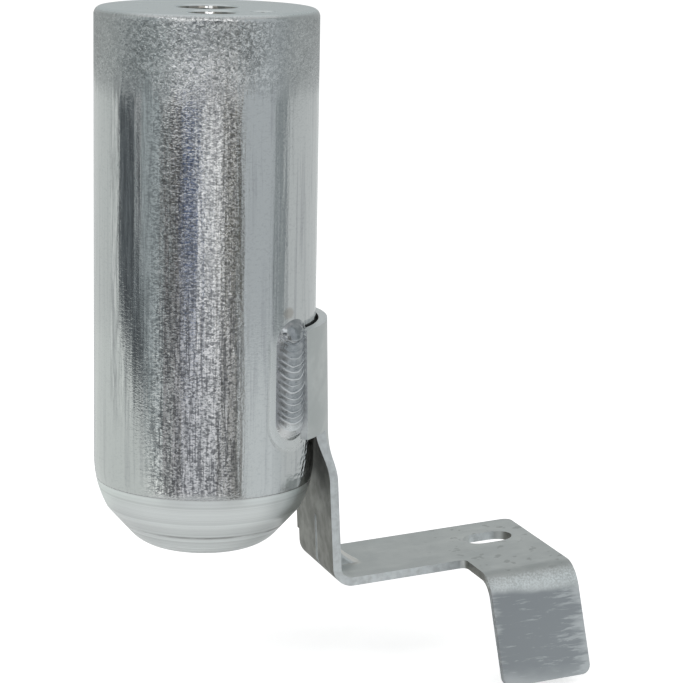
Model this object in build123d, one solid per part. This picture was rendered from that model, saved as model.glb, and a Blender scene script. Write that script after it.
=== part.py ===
from build123d import *
from math import cos, radians, sin, sqrt, tan
import os

# Sizes in millimetres. Z is the can's axis, with Z = 0 on the head's top face. +Y runs out along the
# bracket's arm, and +X is the side on which the arm's leg and flap stand. A drop is a distance below
# the head's face.

# Canister: one aluminium piece with a thick machined head, a thin wall and a spun, turned bottom.
can_radius = 38.0
can_height = 185.3
can_wall = 2.6
end_wall = 4.0
head_thickness = 26.0
head_edge_radius = 2.7
head_inner_radius = 5.0

# The bottom narrows from the wall through a rounded shoulder to a cone, and ends in a flat.
shoulder_height = 8.4
shoulder_angle = 27.0
shoulder_round_share = 0.91
cone_height = 13.9
cone_angle = 41.8
cone_edge_radius = 3.9
knuckle_radius = 15.3
centre_mark_radius = 3.0
centre_mark_depth = 0.8

# Outlet port in the middle of the head, inlet port towards the near side, tapped hole beside it.
port_depth = 13.0
port_chamfer = 0.5
outlet_port_radius = 10.75
outlet_passage_radius = 5.1
inlet_port_radius = 8.5
inlet_passage_radius = 5.5
inlet_port_rim_gap = 5.2
inlet_port_y = -4.8
thread_radius = 4.0
thread_depth = 15.0
thread_chamfer = 0.45
thread_rim_gap = 9.6
thread_y = 12.4
drill_point_angle = 59.0

# Bracket: one folded sheet. The saddle stands off the can by a small gap, which the welds bridge,
# and leans out a little downwards.
sheet = 3.0
saddle_gap = 1.0
saddle_half_angle = 51.0
saddle_height = 37.7
saddle_lean = 1.4
saddle_shoulder_gap = 20.0
strip_width = 41.6
neck_height = 19.5
neck_sections = 5
strap_set_in = 0.5
strap_lean = 3.2
strap_height = 34.4
far_edge_step = 2.0
far_edge_step_up = 8.0
fold_inner_radius = 4.0
arm_rise = 4.7
arm_reach = 77.85
arm_corner_radius = 3.2
leg_width = 32.1
leg_reach = 44.2
leg_inner_corner_radius = 2.4
flap_length = 38.2
flap_splay = 15.0
flap_fold_inner_radius = 7.0
flap_corner_radius = 3.4
slot_end_gap = 6.7
slot_length = 18.0
slot_width = 12.0

# Stiffening rib in the fold between strap and arm, and the press mark behind it.
rib_x = 2.0
rib_up = 19.0
rib_out = 14.0
rib_hollow = 5.0
rib_width = 6.0
rib_crest_radius = 2.0
press_mark_width = 2.2
press_mark_depth = 0.7

# Weld beads along the saddle's two upright edges.
bead_shift = 2.2
bead_width = 15.4
bead_crown = 3.2
bead_top_overrun = 3.2
bead_bottom_overrun = 0.6
bead_root = 2.0

# Outlet tube: from the head down to a U-bend at the bottom, and back up to its open mouth.
tube_radius = 6.35
tube_wall = 1.25
tube_fit = 0.05
tube_seat_depth = 9.0
tube_side_gap = 3.05
tube_mouth_gap = 4.0
bleed_hole_radius = 0.8
siphon_hole_radius = 0.9
siphon_hole_gap = 10.0

# Inlet deflector: a sheet umbrella pressed on the outlet tube.
deflector_sheet = 1.2
deflector_side_gap = 3.9
deflector_head_gap = 7.0
deflector_fall = 7.0
deflector_skirt = 6.0
deflector_sleeve = 9.0
deflector_bend_radius = 2.5

# Oil filter: a plastic cage clipped on the tube's lowest point, with a mesh sleeve inside.
cage_radius = 9.0
cage_height = 11.0
cage_wall = 1.5
cage_floor = 1.2
cage_end_gap = 4.3
cage_ring_height = 2.0
cage_posts = 6
cage_post_width = 2.2
cage_inlet_radius = 3.0
clip_length = 10.0
clip_wall = 1.6
clip_wrap = 2.5
clip_fit = 0.1
screen_wall = 0.4
screen_fit = 0.1

# Desiccant bag: a felt lobe each side of the tube, joined by a web between the tube's legs.
bag_side_gap = 2.0
bag_tube_gap = 0.3
bag_mouth_gap = 30.0
bag_shoulder_gap = 5.0
bag_edge_radius = 6.0
bag_web_gap = 1.65
bag_web_height = 8.0
bag_web_depth = 16.0
tie_gap = 0.3
tie_thickness = 1.0
tie_height = 5.0

# Places that follow from the sizes above.
cone_drop = can_height - cone_height
shoulder_drop = cone_drop - shoulder_height
shoulder_length = shoulder_height / cos(radians(shoulder_angle))
shoulder_radius = shoulder_round_share * shoulder_length / tan(radians(shoulder_angle / 2))
inner_radius = can_radius - can_wall
inlet_port_x = can_radius - inlet_port_rim_gap - inlet_port_radius
thread_x = can_radius - thread_rim_gap - thread_radius
saddle_inner_radius = can_radius + saddle_gap
saddle_outer_radius = saddle_inner_radius + sheet
saddle_bottom_drop = shoulder_drop - saddle_shoulder_gap
saddle_top_drop = saddle_bottom_drop - saddle_height
saddle_place = Pos(0, saddle_outer_radius, -saddle_top_drop) * Rot(saddle_lean, 0, 0)
saddle_foot = (saddle_place * Pos(0, 0, -saddle_height)).position
strap_top_drop = neck_height - saddle_foot.Z
strap_top_y = saddle_foot.Y - strap_set_in
arm_drop = strap_top_drop + strap_height
fold_y = strap_top_y + strap_height * tan(radians(strap_lean))
arm_end_y = fold_y + arm_reach
arm_length = arm_reach / cos(radians(arm_rise))
arm_place = Pos(0, fold_y, -arm_drop) * Rot(arm_rise, 0, 0)
fold_corner = Vector(fold_y, -arm_drop)
up_strap = Vector(0, 1).rotate(Axis.Z, strap_lean)
along_arm = Vector(1, 0).rotate(Axis.Z, arm_rise)
half_strip = strip_width / 2
slot_centre_y = arm_end_y - slot_end_gap - slot_length / 2
bead_radius = (bead_width**2 / 4 + bead_crown**2) / (2 * bead_crown)
bead_axis_radius = can_radius + bead_crown - bead_radius
tube_top_drop = head_thickness - tube_seat_depth
cage_drop = can_height - end_wall - cage_end_gap
tube_bottom_drop = cage_drop - cage_height
up_leg_x = -(inner_radius - tube_side_gap - tube_radius)
bend_x = up_leg_x / 2
bend_radius = -bend_x
bend_drop = tube_bottom_drop - tube_radius - bend_radius
deflector_radius = inner_radius - deflector_side_gap
deflector_drop = head_thickness + deflector_head_gap
rim_drop = deflector_drop + deflector_fall
tube_mouth_drop = rim_drop + deflector_skirt + tube_mouth_gap
siphon_hole_drop = tube_mouth_drop + siphon_hole_gap
bag_radius = inner_radius - bag_side_gap
bag_top_drop = tube_mouth_drop + bag_mouth_gap
bag_bottom_drop = shoulder_drop - bag_shoulder_gap
bag_height = bag_bottom_drop - bag_top_drop
bag_web_width = 2 * (bend_radius - tube_radius - bag_web_gap)
bag_web_drop = bag_top_drop + bag_web_depth
tie_drop = (bag_top_drop + bag_bottom_drop) / 2


def inset(points, depths):
    """Corners of an outline whose edges are each moved inwards by their own depth."""
    moved = []
    for before, here, after, depth, next_depth in zip(points, points[1:], points[2:], depths, depths[1:]):
        first = (here - before).normalized()
        second = (after - here).normalized()
        turn = first.cross(second).Z
        moved.append(here - (second * depth - first * next_depth) * (1 / turn))
    return moved


def can_profile(side_depth, end_depth, top_radius, top_drop):
    """Closed half section of the can, moved in by side_depth at its walls and end_depth at its end."""
    cone_top_radius = can_radius - (cone_drop - shoulder_drop) * tan(radians(shoulder_angle))
    flat_radius = cone_top_radius - (can_height - cone_drop) * tan(radians(cone_angle))
    corners = [
        Vector(can_radius, 0),
        Vector(can_radius, -shoulder_drop),
        Vector(cone_top_radius, -cone_drop),
        Vector(flat_radius, -can_height),
        Vector(0, -can_height),
    ]
    side, cone_top, flat = inset(corners, [side_depth, side_depth, side_depth, end_depth])
    points = [(0, -top_drop), (side.X, -top_drop), side, cone_top, flat, (0, flat.Y)]
    radii = [
        top_radius,
        shoulder_radius - side_depth,
        cone_edge_radius - side_depth,
        knuckle_radius - end_depth,
    ]
    return FilletPolyline(*points, radius=radii) + Line(points[-1], points[0])


def turned(outline):
    """Solid of revolution about the can's axis from a half section with X as radius and Y as height."""
    return revolve(make_face(Plane.XZ * outline), Axis.Z)


def drilled(radius, x, y, top_drop, depth):
    """Round cutter that starts at top_drop and reaches down by depth."""
    return Pos(x, y, -top_drop - depth / 2) * Cylinder(radius, depth)


def mouth(radius, chamfer, x, y):
    """Cone that breaks the edge of a hole in the head's face."""
    return Pos(x, y, -chamfer / 2) * Cone(radius, radius + chamfer, chamfer)


def make_canister():
    body = turned(can_profile(0, 0, head_edge_radius, 0))
    body -= turned(can_profile(can_wall, end_wall, head_inner_radius, head_thickness))
    below_port = head_thickness - port_depth
    body -= drilled(outlet_port_radius, 0, 0, 0, port_depth)
    body -= mouth(outlet_port_radius, port_chamfer, 0, 0)
    body -= drilled(outlet_passage_radius, 0, 0, port_depth, below_port)
    body -= drilled(tube_radius + tube_fit, 0, 0, tube_top_drop, tube_seat_depth)
    body -= drilled(inlet_port_radius, inlet_port_x, inlet_port_y, 0, port_depth)
    body -= mouth(inlet_port_radius, port_chamfer, inlet_port_x, inlet_port_y)
    body -= drilled(inlet_passage_radius, inlet_port_x, inlet_port_y, port_depth, below_port)
    body -= drilled(thread_radius, thread_x, thread_y, 0, thread_depth)
    body -= mouth(thread_radius, thread_chamfer, thread_x, thread_y)
    point_height = thread_radius / tan(radians(drill_point_angle))
    body -= Pos(thread_x, thread_y, -thread_depth - point_height / 2) * Cone(0, thread_radius, point_height)
    mark_place = Pos(0, 0, -can_height + centre_mark_depth / 2)
    return body - mark_place * Cone(centre_mark_radius, 0, centre_mark_depth)


def ring_sector(inner_radius, outer_radius, half_angle):
    """Part of a ring as high as the saddle and in its place, centred on +Y."""
    reach = 2 * outer_radius
    side = reach * sin(radians(half_angle))
    ahead = reach * cos(radians(half_angle))
    wedge = make_face(Polyline((0, 0), (side, ahead), (0, reach), (-side, ahead), close=True))
    section = (Circle(outer_radius) - Circle(inner_radius)) & wedge
    ring = extrude(section, saddle_height, dir=(0, 0, -1))
    return saddle_place * Pos(0, -saddle_outer_radius, 0) * ring


def make_saddle():
    return ring_sector(saddle_inner_radius, saddle_outer_radius, saddle_half_angle)


def sheet_section(bend_share):
    """Section across the strip, bent to a share of the saddle's curve, with its outer side's crown at 0."""
    corners = []
    for face_radius, crown in ((saddle_outer_radius, 0), (saddle_inner_radius, -sheet)):
        dip = 0
        if bend_share:
            radius = face_radius + saddle_outer_radius * (1 / bend_share - 1)
            dip = radius - sqrt(radius**2 - half_strip**2)
        corners.append((crown, crown - dip))
    (crown, edge), (inner_crown, inner_edge) = corners
    if bend_share:
        outside = ThreePointArc((-half_strip, edge), (0, crown), (half_strip, edge))
        inside = ThreePointArc((half_strip, inner_edge), (0, inner_crown), (-half_strip, inner_edge))
    else:
        outside = Line((-half_strip, edge), (half_strip, edge))
        inside = Line((half_strip, inner_edge), (-half_strip, inner_edge))
    return make_face(outside + Line(outside @ 1, inside @ 0) + inside + Line(inside @ 1, outside @ 0))


def make_neck():
    """The strip below the saddle, which flattens from the saddle's curve to the leaning strap."""
    sections = []
    for index in range(neck_sections):
        share = index / (neck_sections - 1)
        eased = share**2 * (3 - 2 * share)
        place = Pos(0, saddle_foot.Y - strap_set_in * eased, saddle_foot.Z - neck_height * share)
        lean = saddle_lean + (strap_lean - saddle_lean) * eased
        sections.append(place * Rot(lean, 0, 0) * sheet_section(1 - eased))
    return loft(sections)


def folded_sheet(points, path_radius, thickness=sheet):
    """Section of sheet on the right hand of a path through points, which is folded with that radius."""
    path = FilletPolyline(*points, radius=path_radius)
    return make_face(offset(path, amount=thickness, side=Side.RIGHT))


def make_strap_and_arm():
    """Strap, fold and arm, narrower on the far side below the step. The path follows the upper faces."""
    tip_drop = arm_drop - arm_length * sin(radians(arm_rise))
    points = [(strap_top_y, -strap_top_drop), (fold_y, -arm_drop), (arm_end_y, -tip_drop)]
    section = folded_sheet(points, fold_inner_radius)
    strip = extrude(Plane.YZ * section, half_strip, both=True)
    cut = Box(2 * far_edge_step, 3 * arm_reach, strap_height, align=(Align.CENTER, Align.CENTER, Align.MAX))
    return strip - Pos(-half_strip, arm_end_y, far_edge_step_up - arm_drop) * cut


def make_leg_and_flap():
    """Leg and flap, drawn in the arm's own frame: X across the arm, Y along it, Z off its top face."""
    splay = radians(flap_splay)
    flap_tip = (leg_reach + flap_length * sin(splay), -flap_length * cos(splay))
    section = folded_sheet([(0, 0), (leg_reach, 0), flap_tip], flap_fold_inner_radius + sheet)
    leg = extrude(Plane.XZ * section, leg_width, dir=(0, 1, 0))
    leg = Pos(0, arm_length - leg_width, 0) * leg
    for y in (arm_length - leg_width, arm_length):
        corner = leg.edges().sort_by_distance((flap_tip[0], y, flap_tip[1]))
        short = corner.filter_by(lambda edge: abs(edge.length - sheet) < sheet / 10)
        leg = fillet(short[0], flap_corner_radius)
    return arm_place * leg


def make_rib():
    """Rib across the fold. Its hollow crest is an arc from the strap to the arm."""
    top = fold_corner + up_strap * (rib_up + sheet / 2)
    foot = fold_corner + along_arm * (rib_out + sheet / 2)
    across = (foot - top).normalized()
    middle = (top + foot) * 0.5 + Vector(across.Y, -across.X) * rib_hollow
    root = Polyline(foot - up_strap * sheet / 2, fold_corner, top - along_arm * sheet / 2)
    crest = ThreePointArc(root @ 1, middle, root @ 0)
    rib = extrude(Plane.YZ * make_face(crest + root), rib_width / 2, both=True)
    for side in (-1, 1):
        edge = rib.edges().sort_by_distance((side * rib_width / 2, middle.X, middle.Y))[0]
        rib = fillet(edge, rib_crest_radius)
    return Pos(rib_x, 0, 0) * rib


def make_press_mark():
    """Cutter for the shallow groove round the fold's outer side, as long as the rib."""
    points = [fold_corner + up_strap * rib_up, fold_corner, fold_corner + along_arm * rib_out]
    beyond = folded_sheet(points, fold_inner_radius, 2 * sheet)
    section = beyond - folded_sheet(points, fold_inner_radius, sheet - press_mark_depth)
    return Pos(rib_x, 0, 0) * extrude(Plane.YZ * section, press_mark_width / 2, both=True)


def make_bracket():
    arm = make_strap_and_arm() + make_leg_and_flap()
    for x, y, radius in (
        (far_edge_step - half_strip, arm_length, arm_corner_radius),
        (half_strip, arm_length - leg_width, leg_inner_corner_radius),
    ):
        corner = arm_place * Pos(x, y, -sheet / 2)
        arm = fillet(arm.edges().sort_by_distance(corner.position)[0], radius)
    slot = Pos(0, slot_centre_y, -arm_drop) * SlotOverall(slot_length, slot_width, rotation=90)
    arm -= extrude(slot, arm_length, both=True)
    return make_saddle() + make_neck() + arm + make_rib() - make_press_mark()


def make_weld_bead(side):
    """Bead on one upright edge of the saddle, cut to the can, the sheet and the gap between them."""
    angle = radians(saddle_half_angle + bead_shift)
    top = -saddle_top_drop + bead_top_overrun - bead_width / 2
    bottom = -saddle_bottom_drop - bead_bottom_overrun + bead_width / 2
    x, y = side * bead_axis_radius * sin(angle), bead_axis_radius * cos(angle)
    bead = Pos(x, y, (top + bottom) / 2) * Cylinder(bead_radius, top - bottom)
    bead += Pos(x, y, top) * Sphere(bead_radius)
    bead += Pos(x, y, bottom) * Sphere(bead_radius)
    bead -= Pos(0, 0, (top + bottom) / 2) * Cylinder(can_radius, 2 * saddle_height)
    bead -= ring_sector(can_radius - sheet, saddle_inner_radius, saddle_half_angle - bead_root)
    return bead - make_saddle()


def make_outlet_tube():
    down = Line((0, -tube_top_drop), (0, -bend_drop))
    turn = ThreePointArc((0, -bend_drop), (bend_x, -bend_drop - bend_radius), (up_leg_x, -bend_drop))
    up = Line((up_leg_x, -bend_drop), (up_leg_x, -tube_mouth_drop))
    path = Plane.XZ * (down + turn + up)
    start = Pos(0, 0, -tube_top_drop)
    tube = sweep(start * Circle(tube_radius), path) - sweep(start * Circle(tube_radius - tube_wall), path)
    tube -= Pos(bend_x, 0, -tube_bottom_drop) * Cylinder(bleed_hole_radius, 3 * tube_wall)
    siphon = Rot(0, 90, 0) * Cylinder(siphon_hole_radius, 3 * tube_wall)
    return tube - Pos(tube_radius, 0, -siphon_hole_drop) * siphon


def make_inlet_deflector():
    sleeve_radius = tube_radius + tube_fit
    points = [
        (sleeve_radius, -deflector_drop - deflector_sleeve),
        (sleeve_radius, -deflector_drop),
        (deflector_radius, -rim_drop),
        (deflector_radius, -rim_drop - deflector_skirt),
    ]
    path = FilletPolyline(*points, radius=deflector_bend_radius)
    section = make_face(offset(path, amount=deflector_sheet, side=Side.RIGHT))
    return revolve(Plane.XZ * section, Axis.Z)


def make_oil_filter_cage():
    """Cup with windows, under a half-round clip that snaps over the tube's bend."""
    axis_drop = tube_bottom_drop - tube_radius
    clip_radius = tube_radius + clip_fit + clip_wall
    clip_drop = axis_drop + clip_radius
    clip = Pos(0, 0, -axis_drop) * Rot(0, 90, 0) * Cylinder(clip_radius, clip_length)
    above = 2 * clip_radius
    clip -= Pos(0, 0, -axis_drop + clip_wrap + above / 2) * Box(clip_length, above, above)
    cup_height = cage_drop - clip_drop
    cup_top = Pos(0, 0, -clip_drop)
    window_height = cup_height - cage_floor - cage_ring_height
    cup = cup_top * extrude(Circle(cage_radius), cup_height, dir=(0, 0, -1))
    cup += extrude(cup_top * Circle(cage_radius), clip_wall)
    hollow_height = cup_height - cage_floor
    cup -= extrude(cup_top * Circle(cage_radius - cage_wall), hollow_height, dir=(0, 0, -1))
    windows = Circle(cage_radius + cage_wall) - Circle(cage_radius - 2 * cage_wall)
    for index in range(cage_posts):
        post = Rectangle(cage_radius + cage_wall, cage_post_width, align=(Align.MIN, Align.CENTER))
        windows -= Rot(0, 0, 360 * index / cage_posts) * post
    window_top = Pos(0, 0, -clip_drop - cage_ring_height)
    cup -= extrude(window_top * windows, window_height, dir=(0, 0, -1))
    cage = Pos(bend_x, 0, 0) * (clip + cup)
    turn = ThreePointArc((0, -bend_drop), (bend_x, -bend_drop - bend_radius), (up_leg_x, -bend_drop))
    cage -= sweep(Pos(0, 0, -bend_drop) * Circle(tube_radius + clip_fit), Plane.XZ * turn)
    return cage - drilled(cage_inlet_radius, bend_x, 0, axis_drop, cup_height)


def make_oil_filter_screen():
    clip_drop = tube_bottom_drop + clip_fit + clip_wall
    height = cage_drop - cage_floor - clip_drop
    radius = cage_radius - cage_wall - screen_fit
    ring = Cylinder(radius, height) - Cylinder(radius - screen_wall, height)
    return Pos(bend_x, 0, -clip_drop - height / 2) * ring


def make_desiccant_bag():
    flat = tube_radius + bag_tube_gap
    section = Circle(bag_radius) & Pos(0, flat) * Rectangle(
        2 * bag_radius, bag_radius, align=(Align.CENTER, Align.MIN)
    )
    lobe = extrude(Pos(0, 0, -bag_bottom_drop) * section, bag_height)
    lobe = fillet(lobe.edges(), bag_edge_radius)
    web_length = 2 * (flat + bag_edge_radius / 2)
    web = Pos(bend_x, 0, -bag_web_drop) * Box(bag_web_width, web_length, bag_web_height)
    return lobe + mirror(lobe, Plane.XZ) + web


def make_bag_tie():
    radius = bag_radius + tie_gap
    ring = Cylinder(radius + tie_thickness, tie_height) - Cylinder(radius, tie_height)
    return Pos(0, 0, -tie_drop) * ring


nodes = {
    "canister": make_canister(),
    "bracket": make_bracket(),
    "weld_bead_near": make_weld_bead(1),
    "weld_bead_far": make_weld_bead(-1),
    "outlet_tube": make_outlet_tube(),
    "inlet_deflector": make_inlet_deflector(),
    "oil_filter_cage": make_oil_filter_cage(),
    "oil_filter_screen": make_oil_filter_screen(),
    "desiccant_bag": make_desiccant_bag(),
    "bag_tie": make_bag_tie(),
}

os.makedirs("parts", exist_ok=True)
for name, shape in nodes.items():
    export_step(shape, f"parts/{name}.step")
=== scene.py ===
import bpy
import bmesh
from math import cos, degrees, exp, pi, radians, sin, sqrt
from random import Random
from mathutils import Matrix, Vector, noise


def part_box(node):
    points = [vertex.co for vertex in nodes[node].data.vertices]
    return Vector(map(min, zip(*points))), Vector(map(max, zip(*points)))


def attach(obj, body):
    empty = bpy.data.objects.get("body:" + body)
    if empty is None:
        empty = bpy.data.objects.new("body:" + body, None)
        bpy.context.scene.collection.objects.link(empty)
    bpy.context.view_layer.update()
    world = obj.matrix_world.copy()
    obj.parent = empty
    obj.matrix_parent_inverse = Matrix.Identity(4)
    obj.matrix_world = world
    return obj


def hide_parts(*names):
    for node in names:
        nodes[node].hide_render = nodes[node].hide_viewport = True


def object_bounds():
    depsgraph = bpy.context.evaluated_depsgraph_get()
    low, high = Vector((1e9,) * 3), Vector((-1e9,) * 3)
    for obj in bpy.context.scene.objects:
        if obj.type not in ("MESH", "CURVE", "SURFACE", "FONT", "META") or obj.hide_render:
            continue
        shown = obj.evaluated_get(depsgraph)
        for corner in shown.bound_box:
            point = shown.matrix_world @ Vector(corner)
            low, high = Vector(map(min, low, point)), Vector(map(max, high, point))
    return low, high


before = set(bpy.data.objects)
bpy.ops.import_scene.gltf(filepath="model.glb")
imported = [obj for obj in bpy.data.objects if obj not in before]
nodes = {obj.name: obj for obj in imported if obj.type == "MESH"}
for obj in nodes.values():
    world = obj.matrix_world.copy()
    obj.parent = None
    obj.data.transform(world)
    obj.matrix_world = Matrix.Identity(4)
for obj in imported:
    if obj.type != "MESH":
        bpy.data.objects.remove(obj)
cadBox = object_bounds()
mm = 0.001
print("frame loaded:", len(nodes), "nodes")

scene = bpy.context.scene
scene.view_settings.view_transform = "Standard"


# shader maths: a Wire is one socket, a Finish is one material or world

class Wire:
    def __init__(self, finish, socket):
        self.finish = finish
        self.socket = socket

    def maths(self, operation, first, second=0.0):
        return self.finish.node("ShaderNodeMath", {"operation": operation}, {0: first, 1: second})

    def __add__(self, other):
        return self.maths("ADD", self, other)

    def __radd__(self, other):
        return self.maths("ADD", other, self)

    def __sub__(self, other):
        return self.maths("SUBTRACT", self, other)

    def __rsub__(self, other):
        return self.maths("SUBTRACT", other, self)

    def __mul__(self, other):
        return self.maths("MULTIPLY", self, other)

    def __rmul__(self, other):
        return self.maths("MULTIPLY", other, self)

    def __pow__(self, other):
        return self.maths("POWER", self, other)

    def __abs__(self):
        return self.maths("ABSOLUTE", self)

    def root(self):
        return self.maths("SQRT", self)

    def most(self, other):
        return self.maths("MAXIMUM", self, other)

    def angleTo(self, other):
        return self.maths("ARCTAN2", self, other)

    def ease(self, low, high):
        # 0 at low, 1 at high, smooth between; low may be the larger one
        settings = {"interpolation_type": "SMOOTHSTEP", "clamp": True}
        if low < high:
            return self.finish.node("ShaderNodeMapRange", settings, {0: self, 1: low, 2: high, 3: 0.0, 4: 1.0})
        return self.finish.node("ShaderNodeMapRange", settings, {0: self, 1: high, 2: low, 3: 1.0, 4: 0.0})

    def band(self, low, high, edge):
        # 1 between low and high, falling to 0 over edge outside them
        return self.ease(low - edge, low) * self.ease(high + edge, high)


class Finish:
    def __init__(self, name, owners=bpy.data.materials):
        self.owner = owners.new(name)
        self.owner.use_nodes = True
        self.tree = self.owner.node_tree
        self.tree.nodes.clear()
        self.place = self.node("ShaderNodeTexCoord", {}, {}, "Object")

    def node(self, kind, settings, values, output=0):
        made = self.tree.nodes.new(kind)
        for key, value in settings.items():
            setattr(made, key, value)
        for key, value in values.items():
            if isinstance(value, Wire):
                self.tree.links.new(value.socket, made.inputs[key])
            else:
                made.inputs[key].default_value = value
        return Wire(self, made.outputs[output]) if made.outputs else None

    def axes(self, vector=None):
        split = self.node("ShaderNodeSeparateXYZ", {}, {0: vector or self.place})
        return [Wire(self, socket) for socket in split.socket.node.outputs]

    def vector(self, x, y, z):
        return self.node("ShaderNodeCombineXYZ", {}, {0: x, 1: y, 2: z})

    def placed(self, operation, amount):
        return self.node("ShaderNodeVectorMath", {"operation": operation}, {0: self.place, 1: amount})

    def grain(self, vector, scale, detail=3.0, roughness=0.5, distortion=0.0):
        # noise, mostly between 0.2 and 0.8
        values = {"Vector": vector, "Scale": scale, "Detail": detail, "Roughness": roughness,
                  "Distortion": distortion}
        return self.node("ShaderNodeTexNoise", {}, values)

    def pattern(self, scale, stretch=None, shift=None, **rest):
        # noise on Object coordinates; a small stretch along an axis draws the pattern out along it
        vector = self.place
        if stretch:
            vector = self.placed("MULTIPLY", stretch)
        if shift:
            vector = self.placed("ADD", shift)
        return self.grain(vector, scale, **rest)

    def patterns(self, rows):
        # in the order of the rows
        return [self.pattern(**row) for row in rows.values()]

    def cells(self, vector, scale, randomness):
        # distance to the nearest cell's middle
        return self.node("ShaderNodeTexVoronoi", {"feature": "F1"},
                         {"Vector": vector, "Scale": scale, "Randomness": randomness})

    def mix(self, mask, first, second):
        full = [(*colour, 1.0) if isinstance(colour, tuple) else colour for colour in (first, second)]
        settings = {"data_type": "RGBA", "clamp_factor": True}
        return self.node("ShaderNodeMix", settings, {0: mask, 6: full[0], 7: full[1]}, 2)

    def close(self, colour, roughness, height, metallic, **steady):
        # height is in metres; steady values are the same all over the surface
        bump = self.node("ShaderNodeBump", {}, {"Strength": 1.0, "Distance": 1.0, "Height": height})
        values = {"Base Color": colour, "Roughness": roughness, "Metallic": metallic, "Normal": bump}
        values.update({key.replace("_", " "): value for key, value in steady.items()})
        self.node("ShaderNodeOutputMaterial", {}, {"Surface": self.node("ShaderNodeBsdfPrincipled", {}, values)})
        return self.owner

    def seen(self):
        # 1 for what the camera sees straight or through glass
        straight, through = (self.node("ShaderNodeLightPath", {}, {}, name)
                             for name in ("Is Camera Ray", "Is Transmission Ray"))
        return straight.most(through)


def dress(thing, material):
    thing.data.materials.clear()
    thing.data.materials.append(material)


def pieceFrom(mesh, name, material, body="root"):
    # mesh is a bmesh, which ends here
    bmesh.ops.recalc_face_normals(mesh, faces=mesh.faces)
    data = bpy.data.meshes.new(name)
    mesh.to_mesh(data)
    mesh.free()
    data.shade_smooth()
    piece = bpy.data.objects.new(name, data)
    scene.collection.objects.link(piece)
    dress(piece, material)
    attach(piece, body)
    return piece


def smooth(value, low, high):
    # 0 at low, 1 at high; low may be the larger one
    share = min(max((value - low) / (high - low), 0.0), 1.0)
    return share * share * (3 - 2 * share)


# the can: drawn wall, crinkled head band, turned bottom
# heights go down from the head's face; sides are angles round the can from +X, or from the weld's middle

can = {
    "radius": 38 * mm,
    "faceHeights": (-1.6 * mm, -0.3 * mm),
    "bandTop": (-1.2 * mm, -3.0 * mm),
    "bandBottom": -24 * mm,
    "bandFade": 6 * mm,
    "bandRag": (16 * mm, 12 * mm),
    "seam": -161.3 * mm,
    "secondLine": -176.7 * mm,
    "weldMiddle": -122.8 * mm,
    "weldHalf": 13.2 * mm,
    "haloWidth": 3.4 * mm,
    "haloHeights": (-104 * mm, -114 * mm),
    "ringHeights": (-136 * mm, -142 * mm),
    "dentHeights": (-157 * mm, -145 * mm),
    "dentSides": (radians(-30), radians(-3)),
    "stainPlace": (radians(5), -99.6 * mm),
    "stainSize": (3.2 * mm, 2.4 * mm),
    "frontSides": (radians(-37), radians(-3)),
    "paintedSparkleSides": (radians(-43), radians(-3)),
    "ruggedSides": (radians(-46), radians(4)),
    "lowerHeights": (-75 * mm, -115 * mm),
    "paleSides": (radians(-26), radians(-6)),
    "paleHeights": (-4 * mm, -13 * mm),
    "leftSides": (radians(-69), radians(-44)),
    "leftHeights": (-146 * mm, -122 * mm),
    "boreHeights": (-40 * mm, -0.75 * mm),
    "boreBorder": (35.4 * mm, 34.8 * mm),
    "glintDirection": (0.264, 0.964),
    "glintSides": (-0.4 * mm, 1.6 * mm),
    "tones": {
        "face": (0.77, 0.83, 0.84),
        "body": (0.57, 0.59, 0.59),
        # painted dark reflection streaks on the wall
        "paintedStreaks": (0.30, 0.31, 0.33),
        "band": (0.37, 0.39, 0.395),
        "bandCrest": (0.72, 0.74, 0.74),
        "bandDip": (0.14, 0.15, 0.15),
        # painted glints, then painted dark reflection flecks
        "paintedGlint": (0.98, 0.98, 0.98),
        "paintedDarkFleck": (0.20, 0.205, 0.215),
        "bottom": (0.80, 0.84, 0.835),
        "bottomLine": (0.57, 0.60, 0.595),
        "groove": (0.36, 0.37, 0.37),
        "halo": (0.66, 0.68, 0.675),
        "stain": (0.27, 0.235, 0.19),
        # painted shade on the bore walls, then a painted glint across them
        "bore": (0.24, 0.232, 0.215),
        "glint": (0.95, 0.95, 0.94),
    },
    "patterns": {
        "streaks": {"scale": 640.0, "stretch": (1, 1, 0.035), "detail": 4.0, "roughness": 0.6},
        "patches": {"scale": 60.0, "stretch": (1, 1, 0.5), "detail": 3.0},
        "clouds": {"scale": 26.0, "stretch": (1, 1, 0.6), "detail": 3.0},
        "crinkle": {"scale": 600.0, "stretch": (0.9, 0.9, 1), "detail": 1.0, "distortion": 0.8},
        "wrinkles": {"scale": 950.0, "stretch": (0.8, 0.8, 1.1), "detail": 2.0, "roughness": 0.55, "distortion": 1.2},
        "crackle": {"scale": 1350.0, "stretch": (0.5, 0.5, 1), "detail": 2.0, "distortion": 1.1},
        "cracks": {"scale": 1150.0, "stretch": (1, 1, 0.06), "detail": 3.0, "roughness": 0.65, "distortion": 0.3},
        "sparkle": {"scale": 1450.0, "stretch": (0.55, 0.55, 1), "detail": 1.0, "distortion": 0.8},
        "fine": {"scale": 2100.0, "stretch": (1, 1, 0.8), "detail": 2.0},
        "waves": {"scale": 210.0, "stretch": (1, 1, 0.05), "detail": 2.0},
    },
    "depths": {
        "ridges": -0.40 * mm,
        "wrinkles": 0.26 * mm,
        "bandFine": 0.03 * mm,
        "crackle": 0.04 * mm,
        "frontCrackle": 0.08 * mm,
        "streaks": 0.04 * mm,
        "frontStreaks": 0.05 * mm,
        "waves": 0.30 * mm,
        "scales": 0.20 * mm,
        "lines": 0.045 * mm,
        "steps": 0.10 * mm,
        "faceFine": 0.010 * mm,
        "ring": -0.06 * mm,
        "seamStep": -0.14 * mm,
        "groove": -0.16 * mm,
    },
    "roughness": {"wall": 0.13, "band": 0.15, "turned": 0.20, "face": 0.17, "halo": 0.16, "bore": -0.24,
                  "crackle": 0.12, "least": 0.06},
}

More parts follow.
